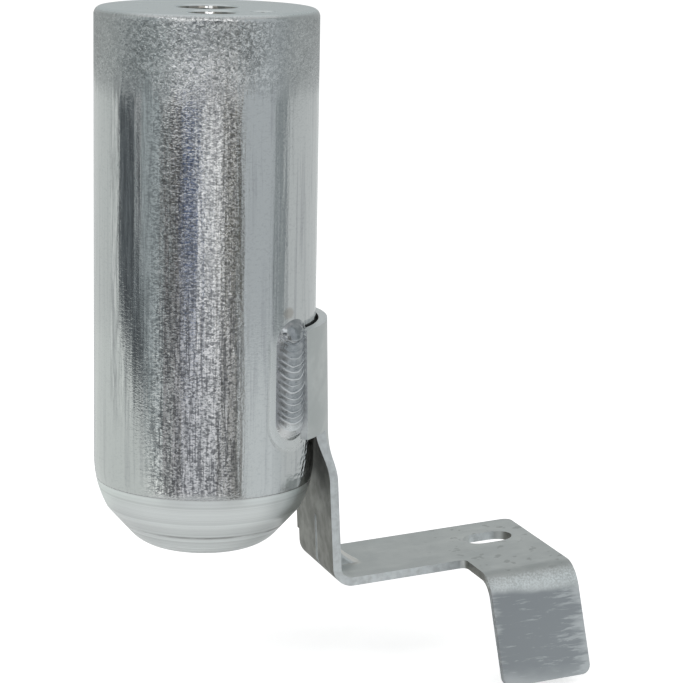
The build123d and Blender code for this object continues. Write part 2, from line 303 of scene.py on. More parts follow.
weld = {
    "axisAngle": 53.2,
    "width": 15.4 * mm,
    "crown": 3.2 * mm,
    "root": 0.3 * mm,
    "halfSpan": 14.5,
    "columns": 72,
    "rows": 300,
    "sheetSide": -4.0,
    "saddleHeight": 41.0 * mm,
    "craterLength": 3.4 * mm,
    "craterRise": 0.7 * mm,
    "craterDrop": 4.2 * mm,
    "craterAside": 3.0,
    "craterSize": (3.4 * mm, 6.5),
    "craterStep": 0.6 * mm,
    "stepWidth": 1.6 * mm,
    "stepCrest": (0.5 * mm, 0.35 * mm),
    "tailLength": 6.0 * mm,
    "tailFade": (4.0 * mm, 8.5 * mm),
    "headFade": (1.0 * mm, 6.0 * mm),
    "pitch": (1.9 * mm, 3.1 * mm),
    "strength": (0.65, 1.1),
    "weakFirst": 0.6,
    "ripple": 0.26 * mm,
    "crestPlace": 0.18,
    "crestWidth": 0.12,
    "valley": 0.35,
    "sag": 4.4 * mm,
    "smileCentre": 4.4,
    "smileHalf": 8.2,
    "wobble": 0.36 * mm,
    "wobbleScale": (16, 400),
    "lumps": 0.07 * mm,
    "lumpScale": 5.0,
    "grip": (-0.4 * mm, 1.6 * mm),
    "overhang": 0.6 * mm,
    "fineDepth": 0.03 * mm,
    "craterHeights": (-110 * mm, -107 * mm),
    "tailHeights": (-134 * mm, -138 * mm),
    "roughness": {"bead": 0.20, "cloud": 0.16, "crest": 0.1, "crater": -0.10},
    "tones": {
        "dark": (0.31, 0.33, 0.345),
        "pale": (0.42, 0.44, 0.455),
        # painted highlight on the ripple crests
        "crest": (0.72, 0.74, 0.75),
        "tail": (0.74, 0.76, 0.76),
    },
}


def canFinish():
    finish = Finish("canAluminium")
    tones, depths, rough = can["tones"], can["depths"], can["roughness"]
    x, y, z = finish.axes()
    radius = (x * x + y * y).root()
    turn = y.angleTo(x)
    (streaks, patches, clouds, crinkle, wrinkles, crackle, cracks, sparkle, fine,
     waves) = finish.patterns(can["patterns"])
    lines = finish.grain(finish.vector(0.0, 0.0, z), scale=1300.0, detail=4.0, roughness=0.75)
    steps = finish.grain(finish.vector(0.0, 0.0, z), scale=260.0, detail=2.0, roughness=0.5)
    ridges = abs(crinkle - 0.5)

    # zones from the head down
    bandBottom, seam, secondLine = can["bandBottom"], can["seam"], can["secondLine"]
    streakRag, patchRag = can["bandRag"]
    faceMask = z.ease(*can["faceHeights"])
    bandEdge = z + (streaks - 0.5) * streakRag + (patches - 0.5) * patchRag
    bandMask = bandEdge.ease(bandBottom - can["bandFade"], bandBottom + can["bandFade"]) * z.ease(*can["bandTop"])
    turnedMask = z.ease(seam + 0.1 * mm, seam - 0.1 * mm)
    bodyMask = (1 - bandMask) * (1 - turnedMask) * (1 - faceMask)
    lower = z.ease(*can["lowerHeights"])
    aboveSeam = (z + (patches - 0.5) * (4 * mm)).ease(seam + 0.2 * mm, seam + 2.6 * mm)
    boreMask = z.band(*can["boreHeights"], 0.4 * mm) * radius.ease(*can["boreBorder"])

    # zones round the can
    front = turn.band(*can["frontSides"], 0.20) * aboveSeam
    # painted sparkle of glints and dark reflection flecks, strongest on the side facing the camera
    paintedSparkleZone = turn.band(*can["paintedSparkleSides"], 0.18) * (0.2 + (0.38 + 0.27 * lower) * front) * aboveSeam
    rugged = 0.42 + turn.band(*can["ruggedSides"], 0.40) * 0.48
    leftSide = turn.band(*can["leftSides"], 0.08) * z.ease(*can["leftHeights"])
    # where the band's painted highlight patch lies
    paleLow = (z + patches * (8 * mm)).ease(*can["paleHeights"]) * turn.band(*can["paleSides"], 0.25)

    # distance from the near and the far weld along the can's surface
    aside = abs(x).angleTo(y) - radians(weld["axisAngle"])
    upright = (abs(z - can["weldMiddle"]) - can["weldHalf"]).most(0.0)
    fromWeld = ((aside * can["radius"]) ** 2.0 + upright * upright).root()
    haloEdge = fromWeld + (patches - 0.5) * (3 * mm)
    haloBorder = weld["width"] / 2 + can["haloWidth"]
    haloMask = haloEdge.band(0.0, haloBorder, 1.2 * mm) * z.ease(*can["haloHeights"])
    ringMask = haloEdge.band(haloBorder, haloBorder + 0.5 * mm, 0.8 * mm) * z.ease(*can["ringHeights"])
    calm = 1 - haloMask * 0.75
    dentMask = z.band(*can["dentHeights"], 2 * mm) * aside.band(*can["dentSides"], 0.04)
    scales = finish.cells(finish.vector(aside * can["radius"] + z * 0.35, 0.0, z * 1.15), scale=470.0,
                          randomness=0.4)

    seamStep = z.ease(seam + 0.25 * mm, seam - 0.05 * mm)
    groove = z.band(secondLine - 0.1 * mm, secondLine + 0.1 * mm, 0.4 * mm)
    height = (
        bandMask * rugged * (ridges * depths["ridges"] + wrinkles * depths["wrinkles"] + fine * depths["bandFine"])
        + bodyMask * calm * (crackle * (depths["crackle"] + front * depths["frontCrackle"])
                             + streaks * (depths["streaks"] + front * depths["frontStreaks"])
                             + waves * depths["waves"])
        + bodyMask * dentMask * scales * depths["scales"]
        + bodyMask * ringMask * depths["ring"]
        + turnedMask * (lines * depths["lines"] + steps * depths["steps"])
        + faceMask * fine * depths["faceFine"]
        + seamStep * depths["seamStep"]
        + groove * depths["groove"]
    )

    # the wall: painted dark reflection streaks, painted sparkle of glints and dark flecks, painted dark and bright
    # cracks along it, halo round the weld, one stain
    # painted dark reflection streaks, stronger on the side facing the camera
    paintedStreaks = (streaks.ease(0.48, 0.70) * clouds.ease(0.35, 0.6) * 0.45
            + crackle.ease(0.48, 0.32) * (0.18 + front * 0.22))
    # painted dark reflection lines and painted glint lines along the cracks, low on the front and on the left side
    paintedDarkLines = cracks.ease(0.50, 0.60) * ((0.25 + lower * 0.45) * front).most(leftSide * 0.34)
    paintedGlintLines = cracks.ease(0.48, 0.38) * ((0.25 + lower * 0.20) * front).most(leftSide * 0.30)
    stainAside, stainHeight = can["stainPlace"]
    stainWidth, stainLength = can["stainSize"]
    fromStain = (((aside - stainAside) * (can["radius"] / stainWidth)) ** 2.0
                 + ((z - stainHeight) * (1 / stainLength)) ** 2.0)
    wall = finish.mix(paintedStreaks, tones["body"], tones["paintedStreaks"])
    for mask, tone in (
        (paintedSparkleZone * sparkle.ease(0.50, 0.58), "paintedGlint"),
        (paintedSparkleZone * sparkle.ease(0.47, 0.39), "paintedDarkFleck"),
        (paintedGlintLines, "paintedGlint"),
        (paintedDarkLines, "paintedDarkFleck"),
        (haloMask * 0.7, "halo"),
        ((fromStain + patches - 0.5).ease(1.0, 0.1) * 0.45, "stain"),
    ):
        wall = finish.mix(mask, wall, tones[tone])

    # the band: crests, dark squiggles, a painted highlight patch in front
    crests = 0.42 + (wrinkles.ease(0.42, 0.62) - 0.42) * rugged
    squiggles = ridges.ease(0.07, 0.01) * patches.ease(0.62, 0.40)
    band = finish.mix(crests, tones["band"], tones["bandCrest"])
    band = finish.mix(squiggles * rugged * 0.8, band, tones["bandDip"])
    band = finish.mix(paleLow * wrinkles.ease(0.38, 0.58) * 0.6, band, tones["paintedGlint"])

    # the bottom: turned lines and the dark second line
    grooveLine = z.band(secondLine - 0.2 * mm, secondLine + 0.2 * mm, 0.4 * mm)
    bottom = finish.mix(lines.ease(0.35, 0.65) * 0.6 + steps.ease(0.4, 0.6) * 0.4, tones["bottom"],
                        tones["bottomLine"])
    bottom = finish.mix(grooveLine * patches.ease(0.3, 0.6), bottom, tones["groove"])

    # painted shade on the bore walls, crossed by a painted glint
    glintX, glintY = can["glintDirection"]
    glint = (x * glintX + y * glintY).band(*can["glintSides"], 0.5 * mm)
    tone = finish.mix(bandMask, wall, band)
    tone = finish.mix(turnedMask, tone, bottom)
    tone = finish.mix(faceMask, tone, tones["face"])
    tone = finish.mix(boreMask, tone, finish.mix(glint, tones["bore"], tones["glint"]))
    roughness = (rough["wall"] + bandMask * rough["band"] + turnedMask * rough["turned"] + faceMask * rough["face"]
                 + haloMask * rough["halo"] + boreMask * rough["bore"] + (crackle - 0.5) * rough["crackle"])
    return finish.close(tone, roughness.most(rough["least"]), height, 1.0)


dress(nodes["canister"], canFinish())


thread = {"mouth": (24.4 * mm, 12.4 * mm, -0.45 * mm), "major": 3.98 * mm, "minor": 3.36 * mm,
          "pitch": 1.25 * mm, "depth": 13.2 * mm, "steps": 32}


def makeThread():
    # ridges of the tapped hole
    centre, pitch, steps = Vector(thread["mouth"]), thread["pitch"], thread["steps"]
    mesh = bmesh.new()
    rings = []
    for index in range(int(thread["depth"] / pitch * steps) + 1):
        angle = 2 * pi * index / steps
        drop = pitch * (index / steps + 0.5)
        ring = []
        for reach, rise in ((thread["major"], 0.45), (thread["minor"], 0.0), (thread["major"], -0.45)):
            offset = Vector((reach * cos(angle), reach * sin(angle), rise * pitch - drop))
            ring.append(mesh.verts.new(centre + offset))
        rings.append(ring)
    for before, after in zip(rings, rings[1:]):
        for first, second in ((0, 1), (1, 2), (2, 0)):
            mesh.faces.new((before[first], before[second], after[second], after[first]))
    mesh.faces.new(rings[0])
    mesh.faces.new(rings[-1])
    return pieceFrom(mesh, "thread", nodes["canister"].data.materials[0])


makeThread()
print("can made")


# weld beads: stacked ripples from a flat tail up to a round crater; angles are degrees from the bead's middle

def weldFinish():
    finish = Finish("weldMetal")
    tones, rough = weld["tones"], weld["roughness"]
    x, y, z = finish.axes()
    cloud = finish.pattern(scale=320.0, detail=3.0, roughness=0.6)
    fine = finish.pattern(scale=1700.0, detail=2.0, roughness=0.6)
    crest = finish.node("ShaderNodeAttribute", {"attribute_name": "crest"}, {}, "Fac")
    crater = z.ease(*weld["craterHeights"])
    tail = (z + cloud * (2 * mm)).ease(*weld["tailHeights"])
    tone = finish.mix(cloud.ease(0.35, 0.7), tones["dark"], tones["pale"])
    # painted highlight along the ripple crests
    tone = finish.mix(crest.ease(0.2, 0.8), tone, tones["crest"])
    tone = finish.mix(tail * 0.8, tone, tones["tail"])
    roughness = rough["bead"] + cloud * rough["cloud"] + crest * rough["crest"] + crater * rough["crater"]
    return finish.close(tone, roughness, fine * weld["fineDepth"], 1.0)


def weldShape(side, seed):
    low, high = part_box("weld_bead_near")
    saddleTopHighlight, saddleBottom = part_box("bracket")[1].z, high.z - weld["saddleHeight"]
    arc = (weld["width"] ** 2 / 4 + weld["crown"] ** 2) / (2 * weld["crown"])
    axis = can["radius"] + weld["crown"] - arc
    sunk = can["radius"] - weld["root"]
    topCentre, bottomCentre = high.z - weld["width"] / 2, low.z + weld["width"] / 2
    craterHeight, craterAngle = weld["craterSize"]
    wobbleAcross, wobbleAlong = weld["wobbleScale"]
    gripLow, gripHigh = weld["grip"]
    pick = Random(seed)
    lines = [high.z - weld["craterLength"]]
    while lines[-1] > low.z + weld["tailLength"]:
        lines.append(lines[-1] - pick.uniform(*weld["pitch"]))
    strengths = [pick.uniform(*weld["strength"]) * (weld["weakFirst"] if 0 < index < 3 else 1.0)
                 for index in range(len(lines))]

    def ripples(level):
        # how far the surface stands out at a level, and how strong the painted highlight on its crest is
        if level > lines[0]:
            crestRise, crestSpread = weld["stepCrest"]
            wave = -smooth(level, lines[0] + weld["stepWidth"], lines[0]) * weld["craterStep"]
            return wave, exp(-(((level - lines[0] - crestRise) / crestSpread) ** 2))
        below = [index for index, line in enumerate(lines) if line >= level][-1]
        pitch = lines[below] - (lines[below + 1] if below + 1 < len(lines) else lines[below] - 2 * mm)
        share = min((lines[below] - level) / pitch, 1.0)
        fadeLow, fadeHigh = weld["tailFade"]
        fade = smooth(level, low.z + fadeLow, low.z + fadeHigh)
        fadeLow, fadeHigh = weld["headFade"]
        fade *= 0.35 + 0.65 * smooth(level, lines[0] - fadeLow, lines[0] - fadeHigh)
        crest = exp(-(((share - weld["crestPlace"]) / weld["crestWidth"]) ** 2)) * fade * strengths[below]
        return weld["ripple"] * (crest - weld["valley"] * share * fade), crest

    def reach(angle, z):
        if degrees(angle) < weld["sheetSide"] and saddleBottom < z < saddleTopHighlight - 0.3 * mm:
            return sunk, 0.0
        beyond = max(z - topCentre, bottomCentre - z, 0.0)
        left = arc**2 - beyond**2 - (axis * sin(angle)) ** 2
        base = axis * cos(angle) + (sqrt(left) if left > 0 else 0.0)
        dome = (((z - high.z + weld["craterDrop"]) / craterHeight) ** 2
                + (degrees(angle - radians(weld["craterAside"])) / craterAngle) ** 2)
        base += weld["craterRise"] * max(1 - dome, 0.0) ** 0.5
        across = (degrees(angle) - weld["smileCentre"]) / weld["smileHalf"]
        spot = Vector((angle * wobbleAcross, z * wobbleAlong, seed))
        wobble = noise.noise(spot) * weld["wobble"]
        bow = 0.5 * (1 - min(across * across, 1.6)) + 0.5 * sqrt(max(1 - across * across, 0.0))
        wave, crest = ripples(z + weld["sag"] * bow + wobble)
        grip = smooth(base, can["radius"] + gripLow, can["radius"] + gripHigh)
        lump = noise.noise(spot * weld["lumpScale"]) * weld["lumps"]
        return max(base + wave * grip + lump, sunk), crest * grip

    mesh = bmesh.new()
    crests = mesh.verts.layers.float.new("crest")
    grid = []
    for row in range(weld["rows"] + 1):
        z = low.z - weld["overhang"] + (high.z - low.z + 2 * weld["overhang"]) * row / weld["rows"]
        line = []
        for column in range(weld["columns"] + 1):
            share = column / weld["columns"]
            angle = radians(weld["halfSpan"] * (2 * share - 1))
            away = radians(weld["axisAngle"]) + angle
            border = row in (0, weld["rows"]) or column in (0, weld["columns"])
            radius, crest = (sunk, 0.0) if border else reach(angle, z)
            line.append(mesh.verts.new((side * radius * sin(away), radius * cos(away), z)))
            line[-1][crests] = crest
        grid.append(line)
    for lower, upper in zip(grid, grid[1:]):
        for a, b, c, d in zip(lower, lower[1:], upper[1:], upper):
            mesh.faces.new((a, b, c, d))
        mesh.faces.new((lower[0], lower[-1], upper[-1], upper[0]))
    mesh.faces.new(grid[0])
    mesh.faces.new(grid[-1])
    return mesh


weldMetal = weldFinish()
for name, side, seed in (("Near", 1, 7), ("Far", -1, 12)):
    bead = pieceFrom(weldShape(side, seed), "weldRipple" + name, weldMetal)
    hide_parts("weld_bead_" + name.lower())
print("welds made")


# the bracket: mill-finish sheet with sheared edges, a sparkling bend and a scratched flap

bracket = {
    "strapTop": -146 * mm,
    "saddleMiddle": -125 * mm,
    "markTop": -178 * mm,
    "markSides": (0.9 * mm, 3.1 * mm),
    "ribMiddle": 2 * mm,
    "ribEnds": (44 * mm, 57 * mm),
    "bendX": 44 * mm,
    "flapMiddleY": 106.0 * mm,
    "flapHalf": 16 * mm,
    "bendHeights": (-197 * mm, -193.5 * mm),
    "flapHeights": (-195 * mm, -198 * mm),
    "foldHeights": (-197 * mm, -191 * mm),
    "hemHeights": (-219 * mm, -226 * mm),
    "speckPlaces": (75 * mm, 95 * mm),
    "endDirection": (0.656, -0.755),
    "tones": {
        "face": (0.47, 0.495, 0.49),
        "pale": (0.59, 0.61, 0.60),
        "stain": (0.30, 0.315, 0.31),
        "edge": (0.70, 0.735, 0.745),
        "edgeShade": (0.56, 0.585, 0.59),
        "endFace": (0.93, 0.95, 0.95),
        # painted highlight on the saddle's top face
        "saddleTopHighlight": (0.90, 0.93, 0.94),
        # painted shade on the strap's side facing the can, dark and paler
        "paintedInwardShade": (0.17, 0.172, 0.155),
        "warmPale": (0.29, 0.292, 0.27),
        # painted dark reflection on the flap face; the paler tone is its rubbed border
        "flap": (0.305, 0.325, 0.34),
        "flapPale": (0.52, 0.545, 0.555),
        "bend": (0.72, 0.76, 0.765),
        # painted highlight along the pressed crease
        "mark": (0.85, 0.86, 0.84),
        "rib": (0.64, 0.635, 0.61),
    },
    "patterns": {
        "cloud": {"scale": 90.0, "detail": 4.0, "roughness": 0.6},
        "smudge": {"scale": 160.0, "stretch": (1.0, 0.4, 1.0), "detail": 3.0, "roughness": 0.55},
        "fine": {"scale": 1500.0, "detail": 3.0, "roughness": 0.6},
        "spots": {"scale": 230.0, "shift": (0.4, 0.1, 0.2), "detail": 2.0},
        "lengthwise": {"scale": 900.0, "stretch": (1.0, 0.03, 0.03), "detail": 3.0, "roughness": 0.6},
        "sheared": {"scale": 1300.0, "stretch": (1.0, 0.25, 0.25), "detail": 3.0, "roughness": 0.6},
    },
    "depths": {"fine": 0.018 * mm, "lengthwise": 0.012 * mm, "sheared": 0.07 * mm, "bend": 0.06 * mm,
               "scratches": 0.07 * mm, "smudge": 0.25 * mm},
    "roughness": {"sheet": 0.36, "cloud": 0.12, "edge": 0.06, "inward": 0.08, "flap": 0.08},
}


def bracketFinish():
    finish = Finish("bracketAluminium")
    tones, depths, rough = bracket["tones"], bracket["depths"], bracket["roughness"]
    x, y, z = finish.axes()
    facingX, facingY, facingZ = finish.axes(finish.node("ShaderNodeNewGeometry", {}, {}, "Normal"))
    cloud, smudge, fine, spots, lengthwise, sheared = finish.patterns(bracket["patterns"])
    scratches = finish.grain(finish.vector(x, y * 0.12, z * 0.95 - y * 0.04), scale=800.0, detail=4.0,
                             roughness=0.7, distortion=0.4)

    # faces of the sheet
    bendX, strapTop = bracket["bendX"], bracket["strapTop"]
    endX, endY = bracket["endDirection"]
    top = facingZ.ease(0.85, 0.95)
    inward = facingY.ease(-0.6, -0.9) * z.ease(strapTop + 4 * mm, strapTop)
    endFace = (abs(facingX) * endX + facingY * endY).ease(0.93, 0.985) * z.ease(strapTop - 4 * mm, strapTop)
    nearEdge = facingX.ease(0.93, 0.985) * x.ease(bendX, bendX - 6 * mm)
    # painted highlight on the saddle's top face
    saddleTopHighlight = top * z.ease(bracket["saddleMiddle"] - 5 * mm, bracket["saddleMiddle"] + 5 * mm)
    bend = (x.ease(bendX - 6 * mm, bendX - 1 * mm) * facingZ.ease(0.97, 0.84)
            * (z + smudge * (4 * mm)).ease(*bracket["bendHeights"]))
    flap = x.ease(bendX - 2 * mm, bendX) * (z + smudge * (3 * mm)).ease(*bracket["flapHeights"])
    aside = y - bracket["flapMiddleY"]
    fromMiddle = abs(aside) * (1 / bracket["flapHalf"])
    border = (fromMiddle + (smudge - 0.5) * 0.7 + (scratches - 0.5) * 1.2).ease(0.74, 1.12)
    border = border.most((z + smudge * (7 * mm)).ease(*bracket["hemHeights"]) * 0.9)
    border = border.most((z + smudge * (6 * mm)).ease(*bracket["foldHeights"]))

    # marks on them, with a painted highlight along the crease
    markTop = bracket["markTop"]
    paintedCreaseLight = x.band(*bracket["markSides"], 0.15 * mm) * z.ease(markTop, markTop - 3 * mm)
    rib = (abs(x - bracket["ribMiddle"]).ease(6 * mm, 2.5 * mm)
           * (y + cloud * (5 * mm)).band(*bracket["ribEnds"], 2 * mm) * facingZ.ease(0.2, 0.5))
    specks = spots.ease(0.61, 0.67) * top * y.ease(*bracket["speckPlaces"])
    scratched = (scratches + aside * 3.5).ease(0.55, 0.67) * 0.75

    edge = finish.mix(sheared.ease(0.35, 0.7), tones["edge"], tones["edgeShade"])
    # painted shade on the strap's side facing the can
    paintedInwardShade = finish.mix(smudge.ease(0.35, 0.7), tones["paintedInwardShade"], tones["warmPale"])
    # painted highlight along the crease, over the painted shade
    paintedInwardShade = finish.mix(paintedCreaseLight, paintedInwardShade, tones["mark"])
    # painted dark reflection on the flap face, rubbed paler at its border and along scratches
    paintedDarkAndWear = finish.mix(border.most(scratched), tones["flap"], tones["flapPale"])
    tone = tones["face"]
    for mask, over in (
        (cloud.ease(0.35, 0.7) * 0.6 + smudge.ease(0.45, 0.7) * 0.4, tones["pale"]),
        (specks * 0.6, tones["stain"]),
        (rib, tones["rib"]),
        (nearEdge.most(endFace), edge),
        (endFace * 0.7, tones["endFace"]),
        (saddleTopHighlight * 0.8, tones["saddleTopHighlight"]),
        (inward * 0.95, paintedInwardShade),
        (flap, paintedDarkAndWear),
        (bend * fine.ease(0.3, 0.7), tones["bend"]),
    ):
        tone = finish.mix(mask, tone, over)
    roughness = (rough["sheet"] + cloud * rough["cloud"] + nearEdge * rough["edge"] + inward * rough["inward"]
                 + flap * border * rough["flap"])
    height = (
        fine * depths["fine"]
        + lengthwise * depths["lengthwise"]
        + nearEdge * sheared * depths["sheared"]
        + bend * fine * depths["bend"]
        + flap * scratches * depths["scratches"]
        + inward * smudge * depths["smudge"]
    )
    return finish.close(tone, roughness, height, 1.0)


dress(nodes["bracket"], bracketFinish())
print("bracket made")


# inner pieces: each look has a light and a dark tone, its roughness and the depth of its grain

inner = {
    "tube": {"tone": (0.60, 0.61, 0.615), "shade": (0.48, 0.488, 0.492), "roughness": 0.24, "cloud": 0.14,
             "depth": 0.02 * mm},
    "pressed": {"tone": (0.57, 0.58, 0.585), "shade": (0.4674, 0.4756, 0.4797), "roughness": 0.30, "cloud": 0.12,
                "depth": 0.02 * mm},
    "nylon": {"tone": (0.80, 0.79, 0.74), "shade": (0.70, 0.69, 0.63), "roughness": 0.42, "cloud": 0.12,
              "depth": 0.015 * mm, "subsurface": 0.08},
    "felt": {"tone": (0.86, 0.85, 0.80), "shade": (0.70, 0.69, 0.63), "roughness": 0.95, "sheen": 0.3,
             "fibreDepth": 0.25 * mm, "tuftDepth": 0.3 * mm},
}


def tubeFinish():
    finish, look = Finish("tubeAluminium"), inner["tube"]
    drawn = finish.pattern(scale=1500.0, stretch=(1, 1, 0.02), detail=3.0, roughness=0.6)
    cloud = finish.pattern(scale=140.0, detail=3.0)
    tone = finish.mix(drawn.ease(0.35, 0.7), look["shade"], look["tone"])
    return finish.close(tone, look["roughness"] + cloud * look["cloud"], drawn * look["depth"], 1.0)


def pressedFinish():
    finish, look = Finish("pressedAluminium"), inner["pressed"]
    x, y, z = finish.axes()
    rings = finish.grain(finish.vector((x * x + y * y).root(), 0.0, z), scale=900.0, detail=3.0, roughness=0.6)
    cloud = finish.pattern(scale=160.0, detail=4.0, roughness=0.6)
    tone = finish.mix(cloud, look["shade"], look["tone"])
    return finish.close(tone, look["roughness"] + cloud * look["cloud"], rings * look["depth"], 1.0)


def nylonFinish(name):
    finish, look = Finish(name), inner["nylon"]
    cloud = finish.pattern(scale=260.0, detail=4.0, roughness=0.6)
    fine = finish.pattern(scale=2600.0, detail=2.0, roughness=0.6)
    tone = finish.mix(cloud.ease(0.3, 0.7), look["shade"], look["tone"])
    return finish.close(tone, look["roughness"] + cloud * look["cloud"], fine * look["depth"], 0.0,
                        Subsurface_Weight=look["subsurface"])


def feltFinish():
    finish, look = Finish("bagFelt"), inner["felt"]
    tufts = finish.pattern(scale=420.0, detail=4.0, roughness=0.65, distortion=0.8)
    fibres = finish.pattern(scale=2600.0, stretch=(1, 1, 0.35), detail=4.0, roughness=0.7, distortion=1.5)
    tone = finish.mix(tufts.ease(0.3, 0.65) * 0.6 + fibres.ease(0.35, 0.6) * 0.4, look["shade"], look["tone"])
    return finish.close(tone, look["roughness"], fibres * look["fibreDepth"] + tufts * look["tuftDepth"], 0.0,
                        Sheen_Weight=look["sheen"])


for name, material in (
    ("outlet_tube", tubeFinish()),
    ("inlet_deflector", pressedFinish()),
    ("oil_filter_cage", nylonFinish("cageNylon")),
    ("oil_filter_screen", nylonFinish("screenNylon")),
    ("desiccant_bag", feltFinish()),
    ("bag_tie", nylonFinish("tieNylon")),
):
    dress(nodes[name], material)
for name in ("weld_bead_near", "weld_bead_far"):
    dress(nodes[name], weldMetal)


def plainMesh(thing, name):
    # the evaluated shape of thing as a mesh of its own
    graph = bpy.context.evaluated_depsgraph_get()
    data = bpy.data.meshes.new_from_object(thing.evaluated_get(graph))
    data.name = name
    return data


def repeatGroup():
    # copies of an item, each turned and raised against the one before, on a circle about Z
    group = bpy.data.node_groups.new("repeatedItems", "GeometryNodeTree")
    sockets = {}
    for name, kind in (("Item", "Object"), ("Finish", "Material"), ("Count", "Int"), ("Radius", "Float"),
                       ("Turn", "Float"), ("Rise", "Float")):
        socket = group.interface.new_socket(name, in_out="INPUT", socket_type="NodeSocket" + kind)
        sockets[name] = socket.identifier
    group.interface.new_socket("Geometry", in_out="OUTPUT", socket_type="NodeSocketGeometry")
    given = group.nodes.new("NodeGroupInput").outputs

    def add(kind, links, output=0, **settings):
        made = group.nodes.new(kind)
        for key, value in settings.items():
            setattr(made, key, value)
        for key, source in links.items():
            group.links.new(source, made.inputs[key])
        return made.outputs[output]

    def maths(operation, *sources):
        return add("ShaderNodeMath", dict(enumerate(sources)), operation=operation)

    index = add("GeometryNodeInputIndex", {})
    angle = maths("MULTIPLY", index, given["Turn"])
    place = add("ShaderNodeCombineXYZ", {
        0: maths("MULTIPLY", maths("COSINE", angle), given["Radius"]),
        1: maths("MULTIPLY", maths("SINE", angle), given["Radius"]),
        2: maths("MULTIPLY", index, given["Rise"]),
    })
    turn = add("ShaderNodeCombineXYZ", {2: angle})
    points = add("GeometryNodePoints", {"Count": given["Count"], "Position": place})
    item = add("GeometryNodeObjectInfo", {"Object": given["Item"]}, "Geometry")
    copies = add("GeometryNodeInstanceOnPoints", {"Points": points, "Instance": item, "Rotation": turn})
    real = add("GeometryNodeRealizeInstances", {0: copies})
    dressed = add("GeometryNodeSetMaterial", {"Geometry": real, "Material": given["Finish"]})
    group.links.new(dressed, group.nodes.new("NodeGroupOutput").inputs[0])
    return group, sockets


repeated, repeatSockets = repeatGroup()


def repeat(mesh, name, material, start, values):
    # mesh is the item's bmesh about the origin; start is where the first circle's centre goes
    bmesh.ops.recalc_face_normals(mesh, faces=mesh.faces)
    data = bpy.data.meshes.new(name + "Item")
    mesh.to_mesh(data)
    mesh.free()
    data.shade_smooth()
    item = bpy.data.objects.new(name + "Item", data)
    host = bpy.data.objects.new(name, bpy.data.meshes.new(name))
    for thing in (item, host):
        scene.collection.objects.link(thing)
    modifier = host.modifiers.new("repeat", "NODES")
    modifier.node_group = repeated
    for key, value in {"Item": item, "Finish": material, **values}.items():
        modifier[repeatSockets[key]] = value
    made = plainMesh(host, name)
    host.modifiers.remove(modifier)
    bpy.data.objects.remove(item)
    made.transform(Matrix.Translation(start))
    host.data = made
    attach(host, "root")
    return host


def bar(length, width, height, sides=8):
    # rounded bar along Z, centred on the origin
    mesh = bmesh.new()
    bmesh.ops.create_cone(mesh, cap_ends=True, segments=sides, radius1=0.5, radius2=0.5, depth=length)
    bmesh.ops.scale(mesh, vec=(width, height, 1), verts=mesh.verts)
    bmesh.ops.bevel(mesh, geom=[edge for edge in mesh.edges if len(edge.link_faces) == 2
                                and abs(edge.verts[0].co.z - edge.verts[1].co.z) < 1e-9],
                    offset=min(width, height) * 0.25, segments=2, affect="EDGES")
    return mesh


def hoop(radius, thickness, steps=72, sides=6):
    mesh = bmesh.new()
    rings = []
    for index in range(steps):
        angle = 2 * pi * index / steps
        ring = []
        for side in range(sides):
            tilt = 2 * pi * side / sides
            reach = radius + thickness / 2 * cos(tilt)
            ring.append(mesh.verts.new((reach * cos(angle), reach * sin(angle), thickness / 2 * sin(tilt))))
        rings.append(ring)
    for before, after in zip(rings, rings[1:] + rings[:1]):
        for side in range(sides):
            follow = (side + 1) % sides
            mesh.faces.new((before[side], before[follow], after[follow], after[side]))
    return mesh


screen = {"uprights": 44, "wire": 0.26 * mm, "hoops": 9}


def makeScreen():
    # woven sleeve: hoops with upright wires on both of their sides
    low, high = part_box("oil_filter_screen")
    material = nodes["oil_filter_screen"].data.materials[0]
    centre = (low + high) / 2
    radius = (high.x - low.x) / 2 - screen["wire"]
    height = high.z - low.z
    space = (height - screen["wire"]) / (screen["hoops"] - 1)
    hoops = repeat(hoop(radius, screen["wire"]), "screenHoops", material,
                   Vector((centre.x, centre.y, low.z + screen["wire"] / 2)),
                   {"Count": screen["hoops"], "Radius": 0.0, "Turn": 0.0, "Rise": space})
    uprights = repeat(bar(height, screen["wire"], screen["wire"], 6), "screenUprights", material,
                      centre, {"Count": screen["uprights"], "Radius": radius,
                               "Turn": 2 * pi / screen["uprights"], "Rise": 0.0})
    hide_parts("oil_filter_screen")
    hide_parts("oil_filter_screen")


tie = {"ribs": 150, "ribWidth": 0.55 * mm, "ribDepth": 0.3 * mm, "ribShare": 0.7}


def makeTieRibs():
    low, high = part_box("bag_tie")
    centre = (low + high) / 2
    radius = (high.x - low.x) / 2 - tie["ribDepth"] / 2
    rib = bar((high.z - low.z) * tie["ribShare"], tie["ribDepth"] * 2, tie["ribWidth"], 6)
    repeat(rib, "tieRibs", nodes["bag_tie"].data.materials[0], centre,
           {"Count": tie["ribs"], "Radius": radius, "Turn": 2 * pi / tie["ribs"], "Rise": 0.0})


bag = {
    "voxel": 1.3 * mm,
    "rounding": 6,
    "sink": 0.9 * mm,
    "evenSink": 0.55,
    "dentSink": 0.6,
    "seamSink": 0.7,
    "dents": ((110, 0.5), (420, 0.2)),  # scale and strength of each noise
    "seamWidth": 1.6 * mm,
    "stitches": 15,
    "stitch": (2.6 * mm, 0.9 * mm, 0.7 * mm),
    "stitchSink": 1.15 * mm,
    "gap": 4.3 * mm,
}


